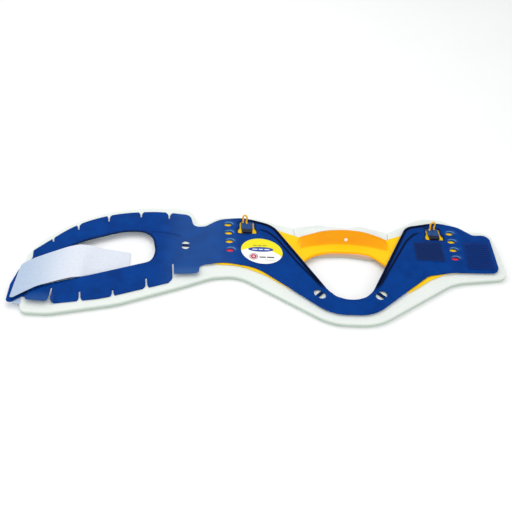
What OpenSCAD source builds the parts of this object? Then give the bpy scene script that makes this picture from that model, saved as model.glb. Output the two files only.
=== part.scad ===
// Adjustable neck collar, laid open flat with its moulded shell upwards and its foam on the table.
// +X runs along the collar, +Y towards the chin edge, +Z up through foam, chin wing and shell.
// The front of the collar is symmetric about the line x = front_x; the rear panel folds at hinge_x.

/* [Overall] */
// Length of the collar laid flat
overall_length = 570; // [540:5:600]
// Distance of the front's centre line from the middle of the collar
front_x = 91; // [85:1:97]
// Distance of the waist fold from the middle of the collar, towards the rear end
hinge_x = -82; // [-84:1:-80]

/* [Layers] */
// Thickness of the foam lining
foam_t = 7; // [5:0.5:9]
// Thickness of the chin support's sliding wings
wing_t = 1.0; // [0.8:0.1:1.2]
// Thickness of the moulded shell
panel_t = 1.4; // [1.2:0.1:2]
// Free space above and below a sliding wing
slide_gap = 0.3; // [0.3:0.05:0.5]

/* [Chin support] */
// Distance between two height settings
step = 14.5; // [12:0.5:15]
// Height of the chin wall above the wings
wall_h = 16; // [12:1:18]
// How far the top of the chin wall leans outwards
wall_lean = 8; // [6:1:10]
// Width of a height window
window_w = 8.6; // [7:0.2:10]
// Height of a height window
window_h = 4.6; // [4:0.2:6]

/* [Locks] */
// Distance of each lock from the front's centre line
lock_x = 116; // [114:1:118]
// Width of a lock tab
tab_w = 14; // [12:1:15]
// Width of the gap beside a lock tab
tab_gap = 1.8; // [1.2:0.2:2]
// Diameter of the wire of a pull loop
loop_d = 2.2; // [1.8:0.2:2.4]
// Height of a pull loop
loop_h = 12; // [9:1:14]

/* [Strap] */
// Thickness of the loop fabric strap
strap_t = 1.6; // [1.2:0.2:2]
// Width of the slot that the strap passes through
slot_w = 4; // [3.5:0.5:5]

/* [Hidden] */
$fn = 40;

// Heights of the layers
wing_z = foam_t + slide_gap;
panel_z = wing_z + wing_t + slide_gap;
panel_top = panel_z + panel_t;
rear_top = foam_t + panel_t;
tip_x = -overall_length / 2;
end_x = overall_length / 2 - front_x;
skin = 0.6;
through = 40;

shell_blue = "#0a4aa0";
foam_white = "#f4f8f5";
chin_yellow = "#ffc81e";
marker_red = "#e01e3c";
foot_black = "#0c1430";
strap_grey = "#dfe6f5";
hook_navy = "#14286e";

// ---- outlines ----

// A closed outline whose corners [x, y, r] are rounded with arcs of radius r
function corner(a, b, c, steps) =
    let (u = [a[0] - b[0], a[1] - b[1]],
        v = [c[0] - b[0], c[1] - b[1]],
        nu = u / norm(u),
        nv = v / norm(v),
        half = acos(max(-1, min(1, nu * nv))) / 2,
        reach = min(b[2] / tan(half), norm(u) * 0.49, norm(v) * 0.49),
        r = reach * tan(half),
        middle = (nu + nv) / norm(nu + nv) * r / sin(half),
        first = nu * reach - middle,
        last = nv * reach - middle)
    [for (i = [0 : steps])
        let (k = i / steps,
            way = first * sin((1 - k) * (180 - 2 * half)) + last * sin(k * (180 - 2 * half)))
        [b[0], b[1]] + middle + way / sin(180 - 2 * half)];

function rounded(p, steps = 8) =
    [for (i = [0 : len(p) - 1])
        let (a = p[(i + len(p) - 1) % len(p)], b = p[i], c = p[(i + 1) % len(p)])
        each b[2] > 0 ? corner(a, b, c, steps) : [[b[0], b[1]]]];

// The mirror image of a list of corners, in the order that continues the outline
function flipped(p) = [for (i = [len(p) - 1 : -1 : 0]) [-p[i][0], p[i][1], p[i][2]]];

// A band of width w along an open line of points
function along(p, w) =
    let (side = [for (i = [0 : len(p) - 1])
        let (a = p[max(i - 1, 0)], b = p[min(i + 1, len(p) - 1)], d = (b - a) / norm(b - a))
        [-d[1], d[0]] * w / 2])
    concat([for (i = [0 : len(p) - 1]) p[i] + side[i]],
        [for (i = [len(p) - 1 : -1 : 0]) p[i] - side[i]]);

module plate(points, z, t) {
    translate([0, 0, z])
        linear_extrude(t)
            polygon(points);
}

// A closed solid swept through rings of four points each
module swept(rings) {
    n = len(rings);
    polyhedron(
        points = [for (r = rings) each r],
        faces = concat([[0, 1, 2, 3]],
            [for (i = [0 : n - 2], k = [0 : 3])
                [4 * i + k, 4 * (i + 1) + k, 4 * (i + 1) + (k + 1) % 4, 4 * i + (k + 1) % 4]],
            [[4 * n - 1, 4 * n - 2, 4 * n - 3, 4 * n - 4]]));
}

module front_frame() {
    translate([front_x, 0, 0])
        children();
}

// ---- places that more than one piece uses ----

// Chin edge of the shell over one arm, from the windpipe opening outwards
arm_top = [[82.3, 66, 18], [124, 76.5, 50], [150, 70, 24], [166, 56, 7]];
// The same edge of the waist arm, which is cut a little lower
waist_arm_top = [[84, 60.5, 28], [122, 73, 60], [150, 68, 30], [166, 55, 10]];
// Lower edge of the shell, from the arm's end to the middle
arm_low = [[128, -9, 50], [96, -15.5, 20], [22, -78, 46]];
// The same edge of the waist arm
waist_arm_low = [[143, -3.8, 40], [107, -10.3, 50], [26, -78, 46]];
// Edge of the windpipe opening, from the middle outwards
windpipe = [[18.4, -56, 30]];
waist_windpipe = [[20, -56, 30]];

// Lowest window of the waist arm and of the free arm, and their sideways step
window_low = [[-136.8, 15.8], [134.3, 13.8]];
window_lean = 0.8;
function window_at(arm, i) = window_low[arm] + i * [(2 * arm - 1) * window_lean, step];

travel = 3 * step;
tab_root = 65.5;
tab_len = 13.1;
foot_len = 6;
foot_y = tab_root - tab_len - foot_len / 2;
peg_w = 5;
peg_len = 5;
peg_room = 0.6;
studs_at = [[98, 42], [125, 42]];
stud_r = 2;
stud_room = 0.5;

tie_holes = [[-36.5, -49, 46], [34, -48.3, -46]];
tie_long = 7.2;
tie_short = 5.6;
tie_bar = 3;

// ---- moulded shell ----

module windows() {
    for (arm = [0, 1], i = [0 : 3])
        translate([window_at(arm, i)[0], window_at(arm, i)[1], 0])
            scale_oval(window_w, window_h, through);
}

// An upright oval prism centred on its own middle
module scale_oval(w, h, t) {
    translate([0, 0, -t / 2])
        linear_extrude(t)
            polygon([for (a = [0 : 15 : 345]) [cos(a) * w / 2, sin(a) * h / 2]]);
}

// Outline of the opening around a lock tab, wider at the foot than at the root
function lock_window() =
    let (top_half = tab_w / 2 + tab_gap, low_half = top_half + 2.4, low = foot_y - foot_len / 2 - 1)
    [[-top_half, tab_root], [-top_half, foot_y + foot_len], [-low_half, foot_y + 1],
        [-low_half, low], [low_half, low], [low_half, foot_y + 1], [top_half, foot_y + foot_len],
        [top_half, tab_root]];

module tie_hole(x, y, turn) {
    translate([x, y, 0])
        rotate([0, 0, turn])
            difference() {
                scale([tie_short, tie_long, 1])
                    cylinder(h = through, r = 1, center = true);
                cube([3 * tie_long, tie_bar, 2 * through], center = true);
            }
}

rib_line = [[102, 58], [93, 52.5], [84, 43], [58, 3], [33, -38]];

module front_panel() {
    right = concat(windpipe, arm_top, [[187, 57, 9], [184, -8, 11]], arm_low);
    left = concat(flipped(waist_arm_low),
        [[-173 + slide_gap / 2, -8, 0], [-173 + slide_gap / 2, 55, 0]],
        flipped(waist_arm_top), flipped(waist_windpipe));
    color(shell_blue)
        front_frame() {
            difference() {
                plate(rounded(concat(right, left)), panel_z, panel_t);
                windows();
                for (side = [-1, 1])
                    translate([side * lock_x, 0, 0])
                        plate(lock_window(), 0, through);
                for (t = tie_holes)
                    tie_hole(t[0], t[1], t[2]);
            }
            for (side = [0, 1])
                mirror([side, 0, 0])
                    plate(along(rib_line, 3), panel_top - 0.2, 1.2);
            translate([82, -9, panel_top - 0.4])
                cylinder(h = 1, r = 1.7);
        }
}

// A relief slit at an edge: a narrow round-ended cut that opens out at its mouth
module slit(x, y, turn, depth) {
    translate([x, y, 0])
        rotate([0, 0, turn]) {
            plate([[-0.8, -depth], [0.8, -depth], [1, -3.5], [1.8, -1.2], [3.2, 0.6], [4, 5], [-4, 5],
                [-3.2, 0.6], [-1.8, -1.2], [-1, -3.5]], 0, through);
            translate([0, -depth, 0])
                cylinder(h = through, r = 1.1);
        }
}

// Each slit's mouth [x, y], its turn and its depth
slits = [[-252, 30, 14, 8], [-226, 52.5, 10, 9], [-192, 70, 6, 10], [-154, 78, 4, 8.5], [-119.7, 78, 1, 9],
    [-239.6, -72.5, 182, 22], [-207.9, -67.5, 188, 13], [-173.5, -60, 188, 9], [-138.2, -46, 187, 14],
    [-109.5, -34, 184, 26]];
rear_opening = [[-138, 42.5, 20], [-132, 10, 34], [-136.5, -5, 12], [-200, -28.5, 160], [-246, -45, 60],
    [-262, -49, 10], [-252, 2, 40], [-212, 26, 110], [-168, 44, 60]];
strap_slot = [[-272.5, -20], [-279.5, -65]];
rivets_at = [[-266.5, -58.5], [-262.5, -26]];
root_wide = 17;
rivet_r = 1.4;
rivet_fit = 0.05;

module rear_panel() {
    outline = [[hinge_x - slide_gap / 2, 55, 0], [-89, 55, 7], [-94, 76, 9], [-135, 80.5, 160],
        [-185, 73.5, 160], [-228, 52.5, 120], [-269.8, 6, 4], [-268.5, -6, 6],
        [-280, -24, 14], [tip_x, -46, 20], [tip_x, -76, 4], [-267, -61, 3], [-264, -71, 5],
        [-238, -72.5, 3], [-185, -63, 120], [-111, -34, 4], [-110.5, -24, 2], [-89, -24, 7],
        [hinge_x - slide_gap / 2, -16, 0]];
    color(shell_blue)
        difference() {
            plate(rounded(outline), foam_t, panel_t);
            plate(rounded(rear_opening), 0, through);
            plate(along(strap_slot, slot_w), 0, through);
            for (c = slits)
                slit(c[0], c[1], c[2], c[3]);
            tie_hole(-98, 23.4, 0);
            for (r = rivets_at)
                translate([r[0], r[1], 0])
                    cylinder(h = through, r = rivet_r + rivet_fit);
        }
    color(shell_blue)
        translate([-103, 7, rear_top - 0.4])
            cylinder(h = 1, r = 1.7);
}

// ---- foam lining ----

// The foam on each side of the fold is cut back at a slant, so that the fold can close
module fold_relief(side) {
    far = 12;
    translate([hinge_x, 0, 0])
        rotate([90, 0, 0])
            linear_extrude(400, center = true)
                polygon([[side * -6, foam_t + 1], [side * 2, foam_t + 1], [side * 2, foam_t],
                    [side * (2 + foam_t), 0], [side * (2 + foam_t), -1], [side * -far, -1]]);
}

module front_foam() {
    edge = [[-173, -35, 0], [-158, -25, 20], [-128, -21, 40], [-26, -88.5, 60], [26, -88.5, 60],
        [126, -22.5, 60], [end_x, -13, 14], [end_x, 30, 30], [191, 64, 12], [160, 66, 14],
        [132, 87, 30], [104, 86, 30],
        [78, 70, 30], [59, 58, 4], [52, 4, 3], [19, -54, 28], [-19, -54, 28], [-52, 4, 3],
        [-59, 61.5, 4], [-78, 66.5, 30], [-104, 76, 30], [-150, 76, 24], [-168, 62, 8], [-173, 62, 0]];
    color(foam_white)
        difference() {
            front_frame()
                plate(rounded(edge), 0, foam_t);
            fold_relief(1);
            front_frame()
                for (side = [-1, 1], s = studs_at)
                    translate([side * s[0], s[1], foam_t - 1.8])
                        cylinder(h = through, r = stud_r + 2.6);
        }
}

foam_opening = [[-136, 49.5, 22], [-129, 10, 34], [-136.5, -5, 12], [-200, -28.5, 160],
    [-246, -45, 60], [-262, -49, 10], [-253, 8, 40], [-212, 33, 110], [-168, 51, 60]];

module rear_foam() {
    edge = [[hinge_x, 62, 0], [-86, 62, 8], [-92, 87, 14], [-112, 88.5, 60], [-146, 88.5, 120],
        [-190, 80, 160], [-234, 55, 100], [-263, 25, 30], [-276, 1, 16], [-277, -40, 30], [-268, -83, 8],
        [-240, -84, 60], [-170, -68.5, 120], [-100, -42, 60], [hinge_x, -36, 0]];
    color(foam_white)
        difference() {
            plate(rounded(edge), 0, foam_t);
            plate(rounded(foam_opening), -1, through);
            fold_relief(-1);
            root_pocket();
        }
}

// ---- chin support ----

// The wall's foot and top, as a function of the distance x from the centre line
bridge = 53;
function foot_at(x) = 24 + 9 * (1 - pow(x / bridge, 2));
function rise_at(x) = 3.5 + (wall_h - 3.5) * (1 - pow(abs(x) / bridge, 2.4));
function lean_at(x) = wall_lean + 5 * pow(abs(x) / bridge, 3);
function lip_at(x) = 19 - 15 * pow(abs(x) / 49, 3);

// One side's wing, from the wall's end outwards
module wing_outline() {
    polygon(rounded([[bridge - 6, 2, 0], [bridge - 6, 42, 0], [bridge + 3, 44.5, 3], [78, 54, 6],
        [94, 61, 8], [134, 67, 12], [158, 50, 12], [160, -6, 8], [132, -7, 40], [118, -10.5, 30],
        [97, -21, 14], [80, -33.5, 8], [64, -44.5, 4], [56, -6, 10]]));
}

module wing_slots() {
    low = foot_y - peg_len / 2 - travel - peg_room;
    high = foot_y + peg_len / 2 + peg_room;
    wide = peg_w + 2 * peg_room;
    translate([lock_x - wide / 2, low])
        square([wide, high - low]);
    for (i = [0 : 3])
        translate([lock_x, foot_y - i * step])
            square([wide + 2.4, 2.5], center = true);
    for (s = studs_at)
        translate([s[0] - stud_r - stud_room, s[1] - travel - stud_r - stud_room])
            square([2 * (stud_r + stud_room), travel + 2 * (stud_r + stud_room)]);
}

module chin_support() {
    across = 12;
    color(chin_yellow)
        front_frame() {
            for (side = [0, 1])
                mirror([side, 0, 0])
                    translate([0, 0, wing_z])
                        linear_extrude(wing_t)
                            difference() {
                                wing_outline();
                                wing_slots();
                            }
            shelf = concat([for (i = [-across : across]) let (x = i * 49 / across) [x, lip_at(x)]],
                [for (i = [across : -1 : -across]) let (x = i * 49 / across) [x, foot_at(x) + 2]]);
            plate(shelf, wing_z, wing_t);
            wall(across);
        }
}

// The standing wall that carries the chin, swept along its foot line as one closed solid
module wall(across) {
    t = 1.6;
    rings = [for (i = [-across : across])
        let (x = i * bridge / across, y = foot_at(x), h = rise_at(x), b = lean_at(x), z = wing_z)
        [[x, y, z], [x, y + t + 0.6, z], [x, y + b + t, z + h], [x, y + b, z + h]]];
    swept(rings);
}

module chin_pad() {
    pad_top = [[-57.5, 60.5, 4], [-52, 63.5, 6], [-24, 69, 16], [0, 61, 10], [24, 69, 16],
        [52, 60.5, 6], [57.5, 56.5, 4]];
    pad_low = [[48, 19, 5], [40, 14.5, 5], [31, 13.5, 10], [18, 16, 20], [0, 18.3, 40],
        [-16, 17.2, 40], [-29, 16.2, 20], [-40, 15.5, 6], [-48, 19, 5]];
    color(foam_white)
        front_frame() {
            plate(rounded(concat(pad_low, pad_top)), 0, foam_t);
            pad_crest();
        }
}

// The part of the pad that stands against the outer side of the chin wall
module pad_crest() {
    across = 10;
    half = 44;
    rings = [for (i = [-across : across])
        let (x = i * half / across, y = foot_at(x) + 2.6, b = lean_at(x), h = rise_at(x),
            wave = 1.2 * cos(x * 7.2), z = foam_t)
        [[x, y + 0.4, z - 0.2], [x, y + 26, z - 0.2], [x, y + b + 12, z + h - wave],
            [x, y + b + 0.4, z + h - wave]]];
    swept(rings);
}

// A round-headed rivet through the wall, square to its face
module chin_rivet() {
    tilt = atan2(lean_at(0), rise_at(0));
    color("white")
        front_frame()
            translate([3, foot_at(3) + lean_at(3) * 0.4, wing_z + rise_at(3) * 0.4])
                rotate([90 - tilt, 0, 0]) {
                    translate([0, 0, -0.2])
                        cylinder(h = 1.2, r1 = 2.6, r2 = 1.6);
                    translate([0, 0, -2.2])
                        cylinder(h = 2.2, r = 1);
                }
}

// The red mark that each wing shows in the window of the height that is set
module size_marker(arm) {
    color(marker_red)
        front_frame()
            translate([window_low[arm][0] + (2 * arm - 1) * 1.5 * window_lean, window_low[arm][1],
                wing_z + wing_t / 2])
                scale_oval(window_w + 4.6, window_h + 1.4, wing_t + 0.2);
}

// ---- locks ----

module lock_tab(side) {
    color(shell_blue)
        front_frame()
            translate([side * lock_x, 0, 0]) {
                plate([[-tab_w / 2, tab_root - tab_len], [tab_w / 2, tab_root - tab_len],
                    [tab_w / 2, tab_root - slide_gap], [-tab_w / 2, tab_root - slide_gap]],
                    panel_z, panel_t);
                for (x = [-3.5, 0, 3.5])
                    plate([[x - 0.6, tab_root - tab_len + 1], [x + 0.6, tab_root - tab_len + 1],
                        [x + 0.6, tab_root - 5], [x - 0.6, tab_root - 5]], panel_top - 0.1, 0.6);
            }
}

module lock_foot(side) {
    color(foot_black)
        front_frame()
            translate([side * lock_x, foot_y, 0]) {
                translate([-tab_w / 2, -foot_len / 2, panel_z])
                    cube([tab_w, foot_len, panel_t + 0.8]);
                translate([-peg_w / 2, -peg_len / 2, wing_z + 0.1])
                    cube([peg_w, peg_len, panel_z - wing_z]);
            }
}

// A standing loop of round wire on the root of the lock tab, turned towards the centre line
module pull_loop(side) {
    bend = 3.1;
    color(chin_yellow)
        front_frame()
            translate([side * (lock_x + 2), tab_root - 2.6, panel_top - 0.6])
                rotate([-8, 0, side * 20]) {
                    for (x = [-bend, bend])
                        translate([x, 0, 0])
                            cylinder(h = loop_h - bend - loop_d / 2, d = loop_d);
                    translate([0, 0, loop_h - bend - loop_d / 2])
                        rotate([90, 0, 0])
                            rotate_extrude(angle = 180)
                                translate([bend, 0])
                                    circle(d = loop_d);
                }
}

// Headed studs that hang from the shell through the wing's slots and keep the wing flat
module guide_studs(side) {
    color(shell_blue)
        front_frame()
            for (s = studs_at)
                translate([side * s[0], s[1], 0]) {
                    translate([0, 0, wing_z - slide_gap - 0.9])
                        cylinder(h = 0.9, r = stud_r + 2);
                    translate([0, 0, wing_z - slide_gap - 0.1])
                        cylinder(h = panel_z - wing_z + slide_gap + 0.1, r = stud_r);
                }
}

// ---- strap ----

strap_axis = rear_top + 2;
strap_z = strap_axis + 0.2;

// The free part, folded back over the rear panel; its middle hangs down into the opening
module closure_strap() {
    near = [[-271, -20.2, 0], [-236, 11, 30], [-216, 17, 14], [-208, 15.5, 0], [-209, -28, 0],
        [-215, -34.5, 4], [-240, -43.5, 30], [-278, -65.2, 0]];
    far_end = [[-192.5, 16, 0], [-161, 13.5, 2.5], [-161, -10.5, 2.5], [-192.5, -20.5, 0]];
    color(strap_grey) {
        plate(rounded(near), strap_z, strap_t);
        sag = [[-209, strap_z + strap_t], [-209, strap_z], [-194, 2], [-192.5, 0.6],
            [-192, 2.2], [-193.5, 2.6], [-207, strap_z + strap_t]];
        intersection() {
            rotate([90, 0, 0])
                linear_extrude(100, center = true)
                    polygon(sag);
            plate([[-215, 17.5], [-190, 15.5], [-190, -19], [-215, -27.5]], 0, through);
        }
        plate(rounded(far_end), 0.6, strap_t);
    }
}

// Places its children along the strap slot, whose middle becomes their origin and whose line their X
module slot_frame() {
    middle = (strap_slot[0] + strap_slot[1]) / 2;
    run = strap_slot[0] - strap_slot[1];
    translate([middle[0], middle[1], 0])
        rotate([0, 0, atan2(run[1], run[0])])
            children();
}

root_long = norm(strap_slot[0] - strap_slot[1]) - 2;
root_z = foam_t - strap_t - 0.2;

// The riveted end of the strap: it runs under the rear panel and up through the slot
module strap_root() {
    color(strap_grey)
        difference() {
            slot_frame() {
                translate([-root_long / 2, -0.8, root_z])
                    cube([root_long, strap_t, rear_top - root_z + 1.2]);
                translate([-root_long / 2, -root_wide, root_z])
                    cube([root_long, root_wide + 0.1, strap_t]);
            }
            for (r = rivets_at)
                translate([r[0], r[1], 0])
                    cylinder(h = foam_t, r = rivet_r + rivet_fit);
        }
}

// The hollow in the foam that takes the strap's root and the rivets' lower heads
module root_pocket() {
    slot_frame()
        translate([-root_long / 2 - 1.5, -root_wide - 1.5, root_z - 1.2])
            cube([root_long + 3, root_wide + 5, through]);
}

// Rivets that fix the strap's root to the rear panel
module strap_rivets() {
    color(foot_black)
        for (r = rivets_at)
            translate([r[0], r[1], root_z - 0.9]) {
                cylinder(h = 0.9, r = 2.8);
                cylinder(h = rear_top - root_z + 0.9, r = rivet_r);
                translate([0, 0, rear_top - root_z + 0.9])
                    cylinder(h = 0.7, r1 = 2.4, r2 = 1.6);
            }
}

// ---- patches and label ----

module hook_patch_large() {
    color(hook_navy)
        front_frame()
            plate(rounded([[150, 41, 2], [182, 42, 2], [179.5, -3.5, 2], [145, -3.5, 2]]),
                panel_top, skin);
}

module hook_patch_small() {
    color(hook_navy)
        front_frame()
            plate(rounded([[86, 8.5, 1.5], [121.5, 8.5, 1.5], [122.5, 40.5, 1.5], [87, 39.5, 1.5]]),
                panel_top, skin);
}

module label() {
    color("#f4e53a")
        front_frame()
            translate([-99.4, 15.3, panel_top + 0.15])
                rotate([0, 0, -15])
                    scale_oval(49.5, 41, 0.3);
}

front_panel();
rear_panel();
front_foam();
rear_foam();
chin_support();
chin_pad();
chin_rivet();
size_marker(0);  // left_size_marker
size_marker(1);  // right_size_marker
lock_tab(-1);  // left_lock_tab
lock_tab(1);  // right_lock_tab
lock_foot(-1);  // left_lock_foot
lock_foot(1);  // right_lock_foot
pull_loop(-1);  // left_pull_loop
pull_loop(1);  // right_pull_loop
guide_studs(-1);  // left_guide_studs
guide_studs(1);  // right_guide_studs
closure_strap();
strap_root();
strap_rivets();
hook_patch_large();
hook_patch_small();
label();
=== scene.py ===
import math

import bpy
import numpy as np
from mathutils import Matrix, Vector, kdtree
from mathutils.geometry import delaunay_2d_cdt


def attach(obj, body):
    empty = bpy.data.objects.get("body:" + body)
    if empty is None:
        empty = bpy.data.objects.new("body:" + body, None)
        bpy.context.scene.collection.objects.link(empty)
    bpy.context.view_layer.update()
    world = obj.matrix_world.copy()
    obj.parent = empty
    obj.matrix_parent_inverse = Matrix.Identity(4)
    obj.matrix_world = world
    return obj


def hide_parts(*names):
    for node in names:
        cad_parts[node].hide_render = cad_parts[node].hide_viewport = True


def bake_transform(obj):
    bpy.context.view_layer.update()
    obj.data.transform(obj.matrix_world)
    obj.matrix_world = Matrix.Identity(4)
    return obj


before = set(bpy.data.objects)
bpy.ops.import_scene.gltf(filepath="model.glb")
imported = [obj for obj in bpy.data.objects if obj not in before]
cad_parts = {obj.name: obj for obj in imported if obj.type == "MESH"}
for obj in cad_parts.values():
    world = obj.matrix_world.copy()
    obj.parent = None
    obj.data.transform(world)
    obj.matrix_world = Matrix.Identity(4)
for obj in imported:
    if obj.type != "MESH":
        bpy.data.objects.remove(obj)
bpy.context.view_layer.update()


# ---- Table top, camera and studio light ----
# The collar lies open on a plain white table and is seen from the chin side's opposite edge.
# A bright white surround and big soft lamps leave only a faint shadow along the near edges.

MM = 0.001

target = Vector((-14.4, 17, 0)) * MM
distance = 831 * MM
down = math.radians(45)
turn = math.radians(6.6)
roll = math.radians(6.6)

look = Vector((math.sin(turn) * math.cos(down), math.cos(turn) * math.cos(down), -math.sin(down)))
right = Vector((math.cos(turn), -math.sin(turn), 0))
up = right.cross(look)
rolled_right = right * math.cos(roll) + up * math.sin(roll)
rolled_up = up * math.cos(roll) - right * math.sin(roll)

camera = bpy.data.objects.new("camera", bpy.data.cameras.new("camera"))
camera.data.lens = 49.2
camera.data.sensor_width = 36
camera.matrix_world = Matrix.Translation(target - look * distance) @ Matrix(
    (rolled_right, rolled_up, -look)
).transposed().to_4x4()
bpy.context.scene.collection.objects.link(camera)
bpy.context.scene.camera = camera
bpy.context.scene.view_settings.view_transform = "Standard"


def linear(code):
    """The linear colour of an sRGB hex value."""
    parts = [int(code[i : i + 2], 16) / 255 for i in (1, 3, 5)]
    return [c / 12.92 if c <= 0.04045 else ((c + 0.055) / 1.055) ** 2.4 for c in parts] + [1]


colour_mix = {"data_type": "RGBA"}
colour_product = {"data_type": "RGBA", "blend_type": "MULTIPLY"}


def node(owner, kind, settings=None, **links):
    """Adds a node to a material or a tree, or takes one that is there, with its settings and links."""
    tree = getattr(owner, "node_tree", owner)
    made = kind if isinstance(kind, bpy.types.Node) else tree.nodes.new(kind)
    for key, value in (settings or {}).items():
        setattr(made, key, value)
    for key, value in links.items():
        socket = made.inputs[int(key[1:]) if key[0] == "_" else key.replace("_", " ")]
        if isinstance(value, bpy.types.NodeSocket):
            tree.links.new(value, socket)
        else:
            socket.default_value = value
    return made


def new_material(name, **surface):
    """A material, its shader and its Object coordinates; surface gives the shader's uniform values."""
    material = bpy.data.materials.new(name)
    material.use_nodes = True
    shader = node(material, material.node_tree.nodes["Principled BSDF"], **surface)
    return material, shader, node(material, "ShaderNodeTexCoord").outputs["Object"]


world = bpy.data.worlds.new("studio")
world.use_nodes = True
world.node_tree.nodes["Background"].inputs["Color"].default_value = linear("#ffffff")
world.node_tree.nodes["Background"].inputs["Strength"].default_value = 0.8
bpy.context.scene.world = world

for name, place, width, watts in (
    ("overhead_softbox", (-150, 420, 900), 800 * MM, 2.4),
    ("side_softbox", (-900, -100, 700), 600 * MM, 1.2),
    ("near_softbox", (150, -700, 420), 700 * MM, 1.0),
):
    lamp = bpy.data.objects.new(name, bpy.data.lights.new(name, "AREA"))
    lamp.data.shape = "DISK"
    lamp.data.size = width
    lamp.data.energy = watts
    lamp.location = Vector(place) * MM
    lamp.rotation_euler = (target - lamp.location).to_track_quat("-Z", "Y").to_euler()
    bpy.context.scene.collection.objects.link(lamp)

half = 1500 * MM
table = bpy.data.meshes.new("table")
corners = [(-half, -half, 0), (half, -half, 0), (half, half, 0), (-half, half, 0)]
table.from_pydata(corners, [], [(0, 1, 2, 3)])
table_object = bpy.data.objects.new("table", table)
bpy.context.scene.collection.objects.link(table_object)

# Matt laminate: near-white, with a haze too faint to read as a pattern
paint, shader, _ = new_material("white matt laminate", Roughness=0.9)
speck = node(paint, "ShaderNodeTexNoise", Scale=30).outputs["Fac"]
tone = node(paint, "ShaderNodeMix", colour_mix, _0=speck, A=linear("#fbfcfd"), B=linear("#ffffff"))
node(paint, shader, Base_Color=tone.outputs["Result"])
table.materials.append(paint)


# ---- Foam lining ----
# One die-cut sheet of white closed-cell polyethylene foam, 7 mm thick, under the whole collar.
# Its rims are softly rounded by the cutting press, and it stands out past the shell all round.

foam_thick = 7
front_x = 91
hinge_x = -82


def rounded(corners, closed=True, steps=8):
    """The points of an outline whose corners (x, y, r) are rounded with arcs of radius r."""
    points = []
    count = len(corners)
    for i, (x, y, radius) in enumerate(corners):
        here = Vector((x, y))
        if radius == 0 or (not closed and i in (0, count - 1)):
            points.append(here)
            continue
        before = Vector(corners[i - 1][:2]) - here
        after = Vector(corners[(i + 1) % count][:2]) - here
        half_turn = before.angle(after) / 2
        reach = min(radius / math.tan(half_turn), before.length * 0.49, after.length * 0.49)
        arc = reach * math.tan(half_turn)
        a, b = before.normalized(), after.normalized()
        middle = (a + b).normalized() * arc / math.sin(half_turn)
        first, last = a * reach - middle, b * reach - middle
        swing = math.pi - 2 * half_turn
        for k in range(steps + 1):
            part = k / steps
            way = first * math.sin((1 - part) * swing) + last * math.sin(part * swing)
            points.append(here + middle + way / math.sin(swing))
    return points


def spaced(points, gap, closed=True):
    """The same line with extra points, so that no stretch is longer than gap."""
    result = []
    pairs = list(zip(points, points[1:] + points[:1]))
    for a, b in pairs if closed else pairs[:-1]:
        pieces = max(1, math.ceil((b - a).length / gap))
        result += [a.lerp(b, k / pieces) for k in range(pieces)]
    return result if closed else result + [points[-1]]


def oval(x, y, wide, high, turn_by=0.0, count=28, start=0.0, sweep=360.0):
    """Points round an oval of the given width and height."""
    spin = Matrix.Rotation(math.radians(turn_by), 2)
    angles = [math.radians(start + sweep * k / count) for k in range(count)]
    return [Vector((x, y)) + spin @ Vector((math.cos(a) * wide / 2, math.sin(a) * high / 2)) for a in angles]


def inside(points, loop):
    """Which of the points lie inside a closed loop."""
    px, py = points[:, 0], points[:, 1]
    result = np.zeros(len(points), bool)
    corners = np.array([tuple(p) for p in loop])
    for (ax, ay), (bx, by) in zip(corners, np.roll(corners, -1, 0)):
        if ay == by:
            continue
        crosses = (ay > py) != (by > py)
        result ^= crosses & (px < (bx - ax) * (py - ay) / (by - ay) + ax)
    return result


def near(points, line, closed=False):
    """Distance of each point from a line of points, and how far along the line its nearest place is."""
    corners = np.array([tuple(p) for p in line])
    if closed:
        corners = np.vstack([corners, corners[:1]])
    best = np.full(len(points), 1e9)
    along = np.zeros(len(points))
    run = 0.0
    for a, b in zip(corners[:-1], corners[1:]):
        d = b - a
        length = np.hypot(*d)
        t = np.clip((points - a) @ d / max(length * length, 1e-12), 0, 1)
        gap = np.hypot(*(points - a - t[:, None] * d).T)
        closer = gap < best
        best[closer] = gap[closer]
        along[closer] = run + t[closer] * length
        run += length
    return best, along / run


def ease(low, high, value):
    """0 below low, 1 above high, smooth between them."""
    t = np.clip((value - low) / (high - low), 0, 1)
    return t * t * (3 - 2 * t)


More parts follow.
